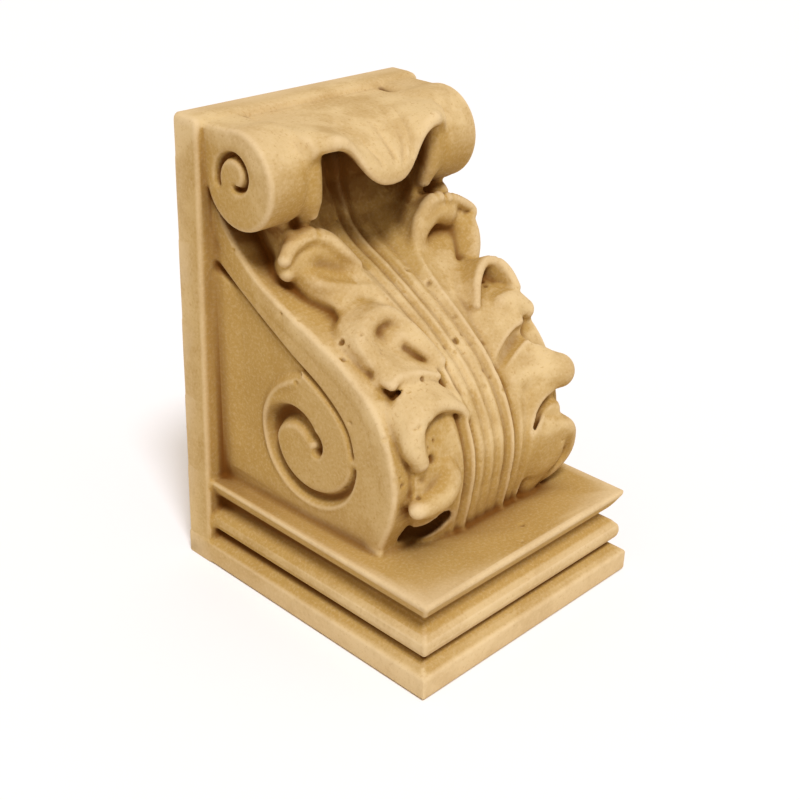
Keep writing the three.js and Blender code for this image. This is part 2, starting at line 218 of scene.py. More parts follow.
# The spiral channel: round the ring from its front, below and up behind, then tightly into the eye.
# It starts narrow and shallow, is widest and deepest half way along, and narrows toward the eye.
spiral_turn = 400
eye_radius = 5
spiral_reach = 25
spiral_steps = 700
turn = np.radians(np.linspace(0, spiral_turn, spiral_steps))
share = turn / turn[-1]
spiral_radius = eye_radius + spiral_reach * (1 - smooth(0.42, 0.7, share))
spiral = np.stack([
    ring[0] + spiral_radius * np.cos(-turn),
    ring[1] + spiral_radius * np.sin(-turn),
], axis=1)
spiral_share, spiral_far = nearest_on(spiral, out, up)
channel_wide = 1.3 + 1.7 * smooth(0, 0.2, spiral_share) + 0.9 * bump(spiral_share, 0.52, 0.1)
channel_wide = channel_wide - 1.0 * smooth(0.6, 1, spiral_share)
channel_deep = 2.5 + 2.5 * smooth(0, 0.15, spiral_share) + 3 * bump(spiral_share, 0.5, 0.08)
channel = channel_deep * np.exp(-(np.abs(spiral_far) / (channel_wide * 1.15)) ** 3)
relief = relief + channel * smooth(0, 0.02, spiral_share)

bracket = soft_max(lift[None], at_across - (half_side - relief)[None], bracket_edge_soft)
bracket = np.maximum(bracket, -at_out + plate_thickness / 2)
casting = soft_min(casting, bracket, bracket_foot_soft)

# From here on the block spans both sides, which differ a little, as hand carving does.
casting = np.concatenate([casting[::-1], casting])
across = np.concatenate([-across[::-1], across])
at_across = across[:, None, None].astype(np.float32)
apart = np.abs(at_across)

# The acanthus leaf carved down the front: a fluted stem from the slab up into the hollow under the
# tip, and four lobes on each side, each a rounded blade with a rolled rim and a scooped hollow.
rows_along = 600
rows_aside = 300
widest_aside = 1.1
steps_along = np.linspace(0, 1, rows_along)
steps_aside = np.linspace(0, widest_aside, rows_aside)

# Veins rise side by side from the slab: the middle ones run on into the hollow, and the others turn
# out one after another. `exits` is where each of them leaves the side.
vein_flare = 0.07
middle_share = 0.2
root_spacing = 0.3
first_exit = -0.4
last_exit = 1.2
exit_steps = 400
exits = np.linspace(first_exit, last_exit, exit_steps)
vein_root = middle_share + np.where(exits < 0, middle_share / -first_exit, root_spacing) * exits
vein = np.empty((rows_along, rows_aside))
for row, place_along in enumerate(steps_along):
    vein_aside = vein_root + (1 - vein_root) * np.exp(-(place_along - exits) / vein_flare)
    vein[row] = np.interp(steps_aside, vein_aside + 1e-6 * exits, exits)
root = np.interp(vein, exits, vein_root)
steps_along = steps_along[:, None]
steps_aside = steps_aside[None, :]

# The leaf's height over the sweep: low along the stem, and lobe after lobe toward the side.
stem_heights = [
    (0, 17), (0.08, 12.5), (0.15, 8.5), (0.22, 8.2), (0.31, 9.2), (0.39, 7.3), (0.47, 5.1),
    (0.56, 3.4), (0.63, 3.6), (0.7, 5.8), (0.77, 7.6), (0.87, 7.6), (1, 12),
]
upper_heights = [
    (-0.4, 20), (0, 20), (0.08, 24), (0.13, 27), (0.155, 26), (0.18, 19), (0.21, 15), (0.27, 11),
    (0.33, 7.5), (0.355, 6), (0.39, 7.5), (0.44, 8), (0.49, 9), (0.52, 8.5), (0.55, 6.5),
]
lower_left_heights = [
    (0.6, 6), (0.64, 5), (0.7, 6), (0.76, 5), (0.86, 4.5), (0.93, 4), (1.2, 3),
]
lower_right_heights = [
    (0.57, 6), (0.59, 8), (0.61, 12), (0.635, 13), (0.66, 12), (0.69, 8.5), (0.725, 6), (0.745, 8),
    (0.765, 11), (0.79, 13), (0.82, 13), (0.86, 12), (0.89, 9.5), (0.93, 7), (1.2, 5),
]
outline = [
    (0, 0.74), (0.18, 0.76), (0.26, 0.79), (0.31, 0.76), (0.36, 0.67), (0.39, 0.69), (0.44, 0.79),
    (0.5, 0.82), (0.55, 0.82), (0.59, 0.76), (0.64, 0.82), (0.7, 0.87), (0.75, 0.84), (0.78, 0.83),
    (0.83, 0.84), (0.88, 0.82), (0.93, 0.74), (1, 0.62),
]
stem_edge = 0.12
lobe_crest = 0.68
lobe_swell = 1.6
crest_wide = 0.16
edge_drop = 2.5
softening_passes = 6
stem_line = np.interp(steps_along, *zip(*stem_heights))
edge_aside = np.interp(steps_along, *zip(*outline))
toward_lobe = np.clip((steps_aside - stem_edge) / (lobe_crest - stem_edge), 0, 1) ** lobe_swell
past_crest = np.clip(1 - (edge_aside - steps_aside) / crest_wide, 0, 1)

# Rounded ridges with narrow creases between them follow the veins. They are uneven in height, and
# fade out over the lobes, past their crests and toward the slab.
ridge_wide = 0.12
ridge_high = 3.4
uneven = 0.75 + 0.25 * np.sin(17 * root + 3 * steps_along + 1)
ridge = np.abs(np.sin(math.pi * (root / ridge_wide + 0.5)))
over_lobes = 1 - 0.75 * smooth(0.22, 0.6, steps_aside)
near_slab = 1 - 0.8 * smooth(0.86, 0.97, steps_along)
faded = over_lobes * (1 - past_crest) * near_slab


def leaf_with(lobe_heights):
    """The leaf's height over the sweep, by share along it and share toward the side."""
    lobe_height = np.interp(vein, *zip(*lobe_heights))
    leaf = stem_line + (lobe_height - stem_line) * toward_lobe
    leaf = leaf * np.sqrt(1 - past_crest ** 2) - edge_drop * smooth(0.9, 1.0, past_crest)
    leaf = leaf - ridge_high * uneven * (1 - ridge) * faded
    for _ in range(softening_passes):
        leaf[1:-1] = (leaf[1:-1] + leaf[:-2] + leaf[2:]) / 3
        leaf[:, 1:-1] = (leaf[:, 1:-1] + leaf[:, :-2] + leaf[:, 2:]) / 3
    return leaf


def sample(table, row, column):
    """Values of a table between its rows and columns."""
    i = np.clip(row.astype(int), 0, table.shape[0] - 2)
    j = np.clip(column.astype(int), 0, table.shape[1] - 2)
    f, g = row - i, column - j
    upper = table[i, j] * (1 - g) + table[i, j + 1] * g
    lower = table[i + 1, j] * (1 - g) + table[i + 1, j + 1] * g
    return upper * (1 - f) + lower * f


# Each half leans out a little as it rises off the sweep, and stops short of the bracket's side.
left_lean = 0.005
right_lean = 0.01
highest_lift = 22
most_aside = 1.09
side_gap = 0.5
leaf_depth = 9
leaf_foot_soft = 2.5
step_along = sweep_length / (rows_along - 1)
step_aside = half_bracket * widest_aside / (rows_aside - 1)
middle = len(across) // 2
halves = (
    (slice(0, middle), left_lean, lower_left_heights),
    (slice(middle, None), right_lean, lower_right_heights),
)
for side, lean, lower_heights in halves:
    leaf = leaf_with(upper_heights + lower_heights)
    aside = apart[side] / half_here[None]
    aside = aside - lean * np.clip(lift, 0, highest_lift)[None] * smooth(0.25, 0.75, aside)
    column = np.clip(aside, 0, most_aside) / widest_aside * (rows_aside - 1)
    row = np.broadcast_to((along * (rows_along - 1))[None], column.shape)
    slope_along, slope_aside = np.gradient(leaf, step_along, step_aside)
    steep = np.sqrt(1 + slope_along ** 2 + slope_aside ** 2)
    over_leaf = (lift[None] - sample(leaf, row, column)) / sample(steep, row, column)
    over_leaf = np.maximum(over_leaf, apart[side] - half_here[None] + side_gap).astype(np.float32)
    over_leaf = np.maximum(over_leaf, -leaf_depth - lift[None])
    casting[side] = soft_min(casting[side], over_leaf, leaf_foot_soft)

# Ropes and shells shape the lobes: a rope follows a line of places, a shell fills between two.
ways = (across, out, up)
rope_steps = 8
rope_margin = 8
shell_margin = 6
shell_layers = 11
shell_steps = 56


def block_near(points, reach):
    """The part of the block that holds the points, with a reach all round them."""
    return tuple(
        slice(*np.searchsorted(axis, [points[:, k].min() - reach, points[:, k].max() + reach]))
        for k, axis in enumerate(ways)
    )


def away_from(centre, box):
    """Distances from a centre, for each cell of a part of the block."""
    square = (at_across[box[0]] - centre[0]) ** 2 + (at_out[:, box[1]] - centre[1]) ** 2
    return np.sqrt(square + (at_up[:, :, box[2]] - centre[2]) ** 2)


def rope_near(points):
    """Distances to a rope through points, each (across, out, up, radius), and the box it fills."""
    line = curve_through(points, rope_steps * len(points))
    box = block_near(line, line[:, 3].max() + rope_margin)
    here = [at_across[box[0]], at_out[:, box[1]], at_up[:, :, box[2]]]
    found = None
    for start, end in zip(line[:-1], line[1:]):
        step = end[:3] - start[:3]
        t = sum((here[k] - start[k]) * step[k] for k in range(3)) / (step @ step)
        t = np.clip(t, 0, 1)
        gap = sum((here[k] - start[k] - t * step[k]) ** 2 for k in range(3))
        gap = np.sqrt(gap) - (start[3] + t * (end[3] - start[3]))
        found = gap if found is None else np.minimum(found, gap)
    return found, box


def add_rope(points, soften):
    """Joins a rope to the casting."""
    gap, box = rope_near(points)
    casting[box] = soft_min(casting[box], gap, soften)


def cut_rope(points, soften):
    """Cuts a rope's shape out of the casting."""
    gap, box = rope_near(points)
    casting[box] = soft_max(casting[box], -gap, soften)


def add_shell(rows, soften):
    """Joins a thick sheet between two rows of places on the leaf, each (aside, share, lift, radius)."""
    heading = np.gradient(sweep, axis=0)
    heading = heading / np.linalg.norm(heading, axis=1)[:, None]
    stations = np.linspace(0, 1, len(sweep))
    balls = []
    for t in np.linspace(0, 1, shell_layers):
        row = (1 - t) * curve_through(rows[0], shell_steps) + t * curve_through(rows[1], shell_steps)
        foot = [np.interp(row[:, 1], stations, sweep[:, k]) for k in (0, 1)]
        turned = [np.interp(row[:, 1], stations, heading[:, k]) for k in (0, 1)]
        half = half_bracket - bracket_taper * (foot[0] - plate_thickness) / carved_reach
        balls.append(np.stack([
            row[:, 0] * half,
            foot[0] - turned[1] * row[:, 2],
            foot[1] + turned[0] * row[:, 2],
            row[:, 3],
        ], axis=1))
    balls = np.concatenate(balls)
    box = block_near(balls, balls[:, 3].max() + shell_margin)
    found = None
    for ball in balls.astype(np.float32):
        gap = away_from(ball, box) - ball[3]
        found = gap if found is None else np.minimum(found, gap)
    casting[box] = soft_min(casting[box], found, soften)


# The lobes' turned-over shells: each goes from its root row on the sweep to its rim row. A place has
# its share toward the side (minus for left), its share along the sweep, its lift, and a radius.
shells = [
    [[(-0.72, 0.2, 2, 5), (-0.66, 0.185, 4, 6), (-0.56, 0.175, 6, 7), (-0.47, 0.18, 7, 6),
      (-0.38, 0.21, 7, 5), (-0.3, 0.24, 6, 3)],
     [(-0.87, 0.232, 15, 3.6), (-0.79, 0.214, 20, 4.2), (-0.64, 0.208, 23, 4.6),
      (-0.51, 0.232, 22, 4.4), (-0.41, 0.266, 18, 3.8), (-0.3, 0.294, 12, 3)]],
    [[(-0.74, 0.215, 2, 5), (-0.62, 0.2, 5, 7), (-0.5, 0.2, 7, 7), (-0.4, 0.22, 7, 6),
      (-0.3, 0.25, 6, 4)],
     [(-0.83, 0.245, 8, 4.5), (-0.7, 0.232, 13, 6), (-0.58, 0.23, 15, 6.5),
      (-0.45, 0.256, 13, 5.5), (-0.33, 0.288, 8, 4)]],
    [[(-0.8, 0.475, 0, 4), (-0.76, 0.43, 1, 5), (-0.6, 0.4, 3, 5), (-0.45, 0.405, 5, 4.5),
      (-0.36, 0.44, 5, 3.5), (-0.29, 0.485, 4, 3), (-0.21, 0.54, 3, 2)],
     [(-0.79, 0.519, 3, 4), (-0.76, 0.474, 5, 5.5), (-0.61, 0.442, 8, 5.5),
      (-0.45, 0.445, 11, 4.5), (-0.36, 0.479, 10, 3.5), (-0.29, 0.525, 8, 3), (-0.21, 0.578, 5, 2)]],
    [[(-0.5, 0.47, 4, 4), (-0.42, 0.475, 5, 4.5), (-0.34, 0.505, 5, 4), (-0.26, 0.55, 4, 3)],
     [(-0.5, 0.5, 5, 4), (-0.42, 0.5, 7, 4.5), (-0.34, 0.53, 6, 4), (-0.26, 0.575, 4, 3)]],
    [[(0.5, 0.8, 5, 4), (0.66, 0.81, 7, 5), (0.84, 0.83, 7, 5)],
     [(0.5, 0.9, 6, 3.5), (0.65, 0.9, 7, 4), (0.86, 0.88, 7, 4.5)]],
    [[(-0.8, 0.56, 1, 2.5), (-0.7, 0.55, 2, 2.5), (-0.51, 0.56, 3, 2.2), (-0.34, 0.58, 3, 2)],
     [(-0.8, 0.587, 6, 2.5), (-0.7, 0.579, 7, 2.5), (-0.51, 0.588, 7, 2.2), (-0.34, 0.604, 5, 2)]],
    [[(-0.77, 0.72, 0, 4), (-0.82, 0.68, 0, 5), (-0.79, 0.64, 1, 6), (-0.65, 0.62, 3, 5),
      (-0.5, 0.62, 4, 4), (-0.33, 0.64, 3, 3), (-0.19, 0.67, 3, 2)],
     [(-0.78, 0.748, 5, 4.5), (-0.82, 0.71, 4.5, 6.5), (-0.79, 0.673, 6, 7),
      (-0.65, 0.655, 8, 5.5), (-0.5, 0.654, 9, 4.2), (-0.33, 0.67, 8, 3.2), (-0.19, 0.7, 5, 2)]],
    [[(-0.49, 0.77, 0, 4), (-0.48, 0.8, 0, 5), (-0.57, 0.825, 0, 6), (-0.7, 0.838, 1, 5),
      (-0.83, 0.838, 4, 4)],
     [(-0.51, 0.781, 5, 4.5), (-0.51, 0.808, 6, 7), (-0.6, 0.831, 7, 7.5), (-0.73, 0.842, 7, 6.5),
      (-0.87, 0.839, 8, 4.5)]],
    [[(0.44, 0.23, 10, 3.5), (0.5, 0.19, 12, 5), (0.6, 0.17, 10, 6), (0.74, 0.18, 8, 6),
      (0.88, 0.2, 6, 5.5), (0.95, 0.24, 4, 4), (0.92, 0.27, 4, 5), (0.86, 0.3, 3, 6),
      (0.8, 0.34, 2, 5.5), (0.74, 0.38, 1, 4)],
     [(0.35, 0.29, 12, 3), (0.43, 0.255, 21, 3.6), (0.58, 0.233, 28, 3.8), (0.74, 0.242, 28, 3.2),
      (0.88, 0.257, 25, 3.2), (1.01, 0.274, 20, 3), (0.96, 0.289, 17, 3.6), (0.94, 0.318, 13, 4.5),
      (0.9, 0.345, 9, 4.5), (0.82, 0.378, 4, 3.5)]],
    [[(0.36, 0.275, 8, 4), (0.45, 0.24, 12, 6), (0.58, 0.21, 14, 8), (0.72, 0.21, 14, 8)],
     [(0.38, 0.292, 9, 4), (0.47, 0.266, 17, 5), (0.6, 0.25, 21, 6), (0.74, 0.257, 20, 6.5)]],
    [[(0.64, 0.25, 5, 4), (0.76, 0.255, 8, 6), (0.85, 0.27, 9, 7), (0.87, 0.3, 6, 7),
      (0.82, 0.34, 2, 5.5)],
     [(0.66, 0.25, 8, 4), (0.78, 0.252, 14, 6), (0.86, 0.27, 15, 6), (0.88, 0.3, 11, 6),
      (0.84, 0.34, 5, 5)]],
    [[(0.46, 0.45, 3, 2.5), (0.56, 0.41, 4, 3), (0.7, 0.385, 4, 4), (0.8, 0.39, 3, 5),
      (0.84, 0.42, 3, 5), (0.85, 0.47, 3, 5)],
     [(0.46, 0.494, 6, 2.2), (0.58, 0.448, 11, 2.8), (0.74, 0.418, 14, 3), (0.85, 0.432, 15, 3),
      (0.9, 0.46, 13, 3), (0.92, 0.492, 9, 3)]],
]
shell_soft = 3
for rows in shells:
    add_shell(rows, shell_soft)

# Ropes, each place (across, out, up, radius), add the walls' edges and the tips of the lobes. Others
# cut hollows, eyes and folds. In both lists the left side's are first.
rims = [
    [(-42, 58, 240, 4), (-42.5, 62, 228, 4.2), (-42, 62, 217, 4), (-40, 60, 205, 2)],
    [(-48, 64, 177, 2.6), (-45, 72, 173, 2.6), (-34, 77, 170, 2.4), (-22, 81, 167, 2)],
    [(42, 58, 240, 4), (42.5, 62, 228, 4.2), (42, 62, 217, 4), (40, 60, 205, 2)],
    [(45, 112, 149, 6), (53, 113, 148, 7), (59, 116, 144, 6)],
    [(26, 137, 121, 4), (39, 137, 120, 7), (51, 140, 119, 9.5), (57, 143, 118, 9.5)],
    [(47, 145, 101, 4.5), (51, 146, 99, 4.5)],
    [(35, 147, 96, 3), (46, 149, 93, 4.5), (57, 151, 88, 5), (62, 150, 80, 4.5), (63, 148, 70, 4),
     (57, 146, 62, 3.6), (50, 143, 57, 3), (44, 139, 54, 2.5)],
]
scoops = [
    [(-48, 127, 133, 2), (-44, 128, 134, 2)],
    [(-38, 148, 107, 2.6), (-35, 147, 114, 4), (-29, 147, 118, 3.5)],
    [(-41, 149, 104, 2.2), (-41, 145, 103, 2.2)],
    [(-49, 151, 96, 2.2), (-48, 147, 94, 2.2)],
    [(-47, 132, 58, 4.5), (-41, 133, 60.5, 8), (-34, 136, 62.5, 8), (-29, 140, 65, 6)],
    [(55, 127, 139, 2.5), (51, 130, 134, 2.5)],
    [(53, 127, 138, 3), (43, 128, 138, 4), (30, 131, 134, 3.5), (19, 134, 128, 2)],
    [(34, 141, 130, 1.2), (42, 142, 130, 1.2)],
    [(54, 149, 108, 2.5), (43, 148, 106, 3), (36, 148, 101, 2.5), (31, 149, 93, 1.5)],
]
rim_soft = 3.5
scoop_soft = 2.5
for points in rims:
    add_rope(points, rim_soft)
for points in scoops:
    cut_rope(points, scoop_soft)

# The small scrolls: one roll on each side of the tip, with a hook cut into its outer face.
scroll_radius = 25
scroll_at = (plate_thickness + 24, height - 26)
scroll_outer = 72
scroll_inner = 47
hook_at = (scroll_at[0] - 2, scroll_at[1] + 1)
hook_starts = 200
hook_ends = -95
hook_widest = 0.56
hook_tightest = 0.2
hook_steps = 300
hook_deep = 5
hook_wide = 1.7
hook_narrows = 0.3
strip_rise = 8
strip_less = 9
roll_edge_soft = 2.5
roll_inner_soft = 6

from_scroll = np.hypot(plane_out - scroll_at[0], plane_up - scroll_at[1])
hook_turn = np.radians(np.linspace(hook_starts, hook_ends, hook_steps))
hook_radius = scroll_radius * np.linspace(hook_widest, hook_tightest, hook_steps)
hook = np.stack([
    hook_at[0] + hook_radius * np.cos(hook_turn),
    hook_at[1] + hook_radius * np.sin(hook_turn),
], axis=1)
hook_share, hook_far = nearest_on(hook, out, up)
hook_cut = hook_deep * np.exp(-(np.abs(hook_far) / (hook_wide - hook_narrows * hook_share)) ** 2)

# Round in front, each roll runs back to the plate as a flat strip.
strip_up = np.abs(plane_up - scroll_at[1] - strip_rise) - scroll_radius + strip_less
strip = np.maximum(plane_out - scroll_at[0], strip_up)
roll = np.minimum(from_scroll - scroll_radius, strip)[None]
roll = soft_max(roll, apart - (scroll_outer - hook_cut)[None], roll_edge_soft)
roll = soft_max(roll, scroll_inner - apart, roll_inner_soft)
roll_foot_soft = 1.5 + 2.5 * smooth(plate_thickness + 3, plate_thickness + 16, at_out)
casting = soft_min(casting, roll, roll_foot_soft)

# The tip of the leaf, turned over forward between the scrolls: a thick sheet with a scalloped
# edge, whose middle lobe hangs down, and whose sides run down beside the scrolls as walls.
tip_reach = 56
tip_half_wall = 3.8
tip_half_width = 46
tip_top = height - 8
tip_side_soft = 3
tip_edge_in = 4
middle_further = 3
sides_shorter = 5
furthest_run = 1.3

# Each pair is a distance from the middle plane and how far the sheet's edge has fallen there.
tip_falls = [
    (0, 20.5), (8, 19.5), (12, 18.3), (16, 16), (19, 12.8), (22, 9), (25, 5), (28, 2.5), (34, 0),
    (38, 1), (44, 4), (50, 6),
]
fallen = np.interp(np.abs(across), *zip(*tip_falls))
for _ in range(softening_passes):
    fallen[1:-1] = (fallen[1:-1] + fallen[:-2] + fallen[2:]) / 3
off_middle = smooth(5, 25, np.abs(across))
edge_out = plate_thickness + tip_reach - tip_edge_in + middle_further * (1 - off_middle)
edge_out = edge_out - sides_shorter * smooth(34, 44, np.abs(across))
run = np.clip((at_out - plate_thickness) / tip_reach, 0, furthest_run)
middle_up = tip_top - fallen[:, None, None] * run ** 3
slope = 3 * fallen[:, None, None] * run ** 2 / tip_reach
gap_up = (at_up - middle_up) / np.sqrt(1 + slope ** 2)
past_edge = np.maximum(at_out - edge_out[:, None, None], 0)
tip = np.sqrt(past_edge ** 2 + gap_up ** 2) - tip_half_wall
tip = soft_max(tip, apart - tip_half_width, tip_side_soft)
off_plate = smooth(plate_thickness + 3, plate_thickness + 20, at_out)
tip_foot_soft = 1.5 + 4.5 * off_plate
casting = soft_min(casting, tip, tip_foot_soft)

# The walls beside the hollow, from the tip down to the top lobe's rim. By height, the first pairs
# say how far from the middle plane a wall stands, and the second how far out its front edge is.
wall_places = [(190, 38), (205, 41), (240, 42)]
wall_fronts = [(182, 46), (212, 62)]
half_wall = 3.4
wall_edge_soft = 4
wall_foot = 178
wall_top_drop = 7
wall_across = np.interp(up, *zip(*wall_places))[None, None, :]
wall_front = np.interp(up, *zip(*wall_fronts))[None, None, :]
wall = np.abs(apart - wall_across) - half_wall
wall = soft_max(wall, at_out - wall_front, wall_edge_soft)
wall = soft_max(wall, np.maximum(wall_foot - at_up, at_up - height + wall_top_drop), wall_edge_soft)
wall_foot_soft = 2 + 5 * off_plate
casting = soft_min(casting, wall, wall_foot_soft)
casting = np.maximum(casting, np.maximum(-at_out, -at_up))

# Veins cut on top of the tip's middle lobe, running down to its edge.
vein_soft = 2
for points in (
    [(22, 40, 246, 0.6), (17, 56, 242.5, 1.1), (13, 68, 234.5, 1.2), (8, 75, 226, 0.8)],
    [(28, 45, 246, 0.5), (22, 58, 243, 1), (18, 68, 237, 1), (14, 75, 228, 0.7)],
    [(8, 42, 246, 0.5), (6, 54, 241.5, 1), (4, 65, 235, 1.1), (3, 74, 227, 0.7)],
    [(-14, 40, 246, 0.4), (-12, 56, 242, 0.8), (-9, 68, 234, 0.8), (-6, 75, 226, 0.5)],
):
    cut_rope(points, vein_soft)

# Air bubbles left pits in the cast surface: most in clusters on the leaf, some strewn about.
chance = np.random.default_rng(11)
least_pit = 0.8
more_pit = 0.9
pit_cells = 4
pit_soft = 0.5

# Each cluster has its middle (across, out, up), its spread and how many pits it has.
clusters = [
    ((-50, 105, 158), 11, 12), ((2, 124, 146), 12, 10), ((6, 138, 128), 12, 10), ((-46, 145, 118), 9, 9),
    ((-63, 148, 95), 12, 6), ((20, 105, 160), 20, 4), ((0, 100, 52), 60, 10), ((-30, 60, 180), 40, 8),
    ((-66, 100, 110), 40, 8), ((60, 120, 120), 40, 10), ((0, 160, 52), 70, 8),
]
for middle_at, spread, count in clusters:
    low_cell = [np.searchsorted(axis, value - spread) for axis, value in zip(ways, middle_at)]
    high_cell = [np.searchsorted(axis, value + spread) for axis, value in zip(ways, middle_at)]
    near_by = casting[tuple(slice(a, b) for a, b in zip(low_cell, high_cell))]
    surface_cells = np.argwhere(np.abs(near_by) < grain / 2)
    if len(surface_cells) < count:
        continue
    for pick in chance.choice(len(surface_cells), count, replace=False):
        spot = surface_cells[pick] + low_cell
        radius = least_pit + more_pit * chance.random() ** 2
        centre = [axis[k] for axis, k in zip(ways, spot)]
        box = tuple(slice(max(k - pit_cells, 0), k + pit_cells + 1) for k in spot)
        casting[box] = soft_max(casting[box], radius - away_from(centre, box), pit_soft)

# The casting is skinned from that block of distances, as one mesh that runs all round it.
corner = np.array([across[0], out[0], up[0]])


def skin_of(block, corner, step):
    """Surface points, one in each cell that the surface crosses, joined by four-sided faces."""
    inside = block < 0
    size = np.array(block.shape) - 1
    cells = sum(
        inside[i:i + size[0], j:j + size[1], k:k + size[2]].astype(np.int8)
        for i in (0, 1) for j in (0, 1) for k in (0, 1)
    )
    crossed = np.argwhere((cells > 0) & (cells < 8))
    number = np.full(size, -1, np.int32)
    number[tuple(crossed.T)] = np.arange(len(crossed))
    total = np.zeros((len(crossed), 3))
    count = np.zeros(len(crossed))
    corners = [(i, j, k) for i in (0, 1) for j in (0, 1) for k in (0, 1)]
    for a in corners:
        for axis in range(3):
            if a[axis]:
                continue
            b = list(a)
            b[axis] = 1
            from_value = block[tuple((crossed + a).T)]
            to_value = block[tuple((crossed + b).T)]
            cut = (from_value < 0) != (to_value < 0)
            t = np.where(cut, from_value / np.where(cut, from_value - to_value, 1), 0)
            point = np.array(a, float) + t[:, None] * (np.array(b) - a)
            total += point * cut[:, None]
            count += cut
    points = corner + (crossed + total / count[:, None]) * step
    faces = []
    for axis in range(3):
        one, two = [k for k in range(3) if k != axis]
        low_side = [slice(1, -1)] * 3
        low_side[axis] = slice(0, -1)
        high_side = list(low_side)
        high_side[axis] = slice(1, None)
        here = inside[tuple(low_side)]
        beyond = inside[tuple(high_side)]
        for first, flip in ((here & ~beyond, False), (~here & beyond, True)):
            spot = np.argwhere(first)
            spot[:, one] += 1
            spot[:, two] += 1
            quad = []
            for shift_one, shift_two in ((1, 1), (0, 1), (0, 0), (1, 0)):
                cell = spot.copy()
                cell[:, one] -= shift_one
                cell[:, two] -= shift_two
                quad.append(number[tuple(cell.T)])
            quad = np.stack(quad, axis=1)
            turned = flip != (axis == 1)
            faces.append(quad[:, ::-1] if turned else quad)
    return points, np.concatenate(faces)


points, faces = skin_of(casting, corner, grain)
place = np.stack([points[:, 0], projection / 2 - points[:, 1], points[:, 2]], axis=1)
place = np.clip(place, np.array(low), np.array(high))
mesh = bpy.data.meshes.new("corbel_casting")
mesh.from_pydata((place * MM).tolist(), [], faces[:, ::-1].tolist())
mesh.update()
corbel = bpy.data.objects.new("corbel_casting", mesh)
bpy.context.scene.collection.objects.link(corbel)


def blurred(block, cells, passes):
    """The block averaged over a box of cells, again and again along each of its three ways."""
    for _ in range(passes):
        for axis in range(3):
            wide = [(0, 0)] * 3
            wide[axis] = (cells + 1, cells)
            total = np.cumsum(np.pad(block, wide, mode="edge"), axis=axis, dtype=np.float64)
            after = np.take(total, range(2 * cells + 1, total.shape[axis]), axis=axis)
            before = np.take(total, range(0, total.shape[axis] - 2 * cells - 1), axis=axis)
            block = ((after - before) / (2 * cells + 1)).astype(np.float32)
    return block


# How much stone surrounds each point, near by and further off: creases and hollows get a painted shade.
crease_cells = 2
hollow_cells = 7
blur_passes = 2
filled = np.clip(0.5 - casting / grain, 0, 1).astype(np.float32)
cell = np.clip((points - corner) / grain, 0, np.array(casting.shape) - 1.001)
for name, cells in (("crease", crease_cells), ("hollow", hollow_cells)):
    around = blurred(filled, cells, blur_passes)
    value = 0
    for shift in ((i, j, k) for i in (0, 1) for j in (0, 1) for k in (0, 1)):
        near = np.floor(cell).astype(int) + shift
        weight = np.prod(1 - np.abs(cell - near), axis=1)
        value = value + weight * around[tuple(near.T)]
    layer = mesh.attributes.new(name, "FLOAT", "POINT")
    layer.data.foreach_set("value", value.astype(np.float32))

# The mesh is thinned, most where it is flat, to stay a little under the triangles that it may have.
most_triangles = 195000
share_used = 0.99
thin = corbel.modifiers.new("thin", "DECIMATE")
thin.ratio = share_used * most_triangles / (2 * len(faces))
with bpy.context.temp_override(object=corbel, active_object=corbel, selected_objects=[corbel]):
    bpy.ops.object.modifier_apply(modifier="thin")
mesh.shade_smooth()

# How much of the sky each point is cut off from: places that face sideways get a browner painted
# shade than those that face up, and sheltered ones a dark brown painted shade.
off_surface = 2.5
directions = 28
lowest_rise = 0.05
rise_range = 0.9
spin_step = 2.4
least_weight = 0.2
sight_steps = (2, 4, 6, 9, 12, 16, 20, 25, 31, 38, 46, 55, 66)
place = np.empty(3 * len(mesh.vertices))
mesh.vertices.foreach_get("co", place)
place = place.reshape(-1, 3) / MM
facing = np.empty(3 * len(mesh.vertices))
mesh.vertex_normals.foreach_get("vector", facing)
facing = facing.reshape(-1, 3)
turned_in = np.array([1, -1, 1])
start = (place + off_surface * facing) * turned_in + np.array([0, projection / 2, 0])
blocked = 0
weights = 0
for k in range(directions):
    rise = lowest_rise + rise_range * (k + 0.5) / directions
    sideways = math.sqrt(1 - rise ** 2)
    spin = spin_step * k
    way = np.array([sideways * math.cos(spin), sideways * math.sin(spin), rise])
    shut = np.zeros(len(start), bool)
    for far_off in sight_steps:
        at = np.rint((start + way * turned_in * far_off - corner) / grain).astype(int)
        kept_in = np.all((at >= 0) & (at < casting.shape), axis=1)
        at = np.clip(at, 0, np.array(casting.shape) - 1)
        shut |= kept_in & (casting[tuple(at.T)] < 0)
    weight = least_weight + np.clip(facing @ way, 0, 1)
    blocked = blocked + weight * shut
    weights = weights + weight
sheltered = mesh.attributes.new("sheltered", "FLOAT", "POINT")
sheltered.data.foreach_set("value", (blocked / weights).astype(np.float32))

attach(corbel, "root")
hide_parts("corbel")

# Cast stone: resin filled with sand and stone powder, matt, with painted shade in creases and paler
# worn edges that are partly a painted highlight. One node group mixes its tones, from clouds and grains
# to painted shade on sideways faces, stains and painted shade in hollows, and its fine relief.
stone = bpy.data.materials.new("cast_stone")
stone.use_nodes = True
nodes, links = stone.node_tree.nodes, stone.node_tree.links
shader = nodes["Principled BSDF"]


def group_of(name, inputs, outputs):
    """An empty node group with named sockets, each (name, kind, value or None)."""
    tree = bpy.data.node_groups.new(name, "ShaderNodeTree")
    for socket, kind, value in inputs:
        made = tree.interface.new_socket(socket, in_out="INPUT", socket_type=kind)
        if value is not None:
            made.default_value = value
    for socket, kind in outputs:
        tree.interface.new_socket(socket, in_out="OUTPUT", socket_type=kind)
    return tree, tree.nodes.new("NodeGroupInput"), tree.nodes.new("NodeGroupOutput")


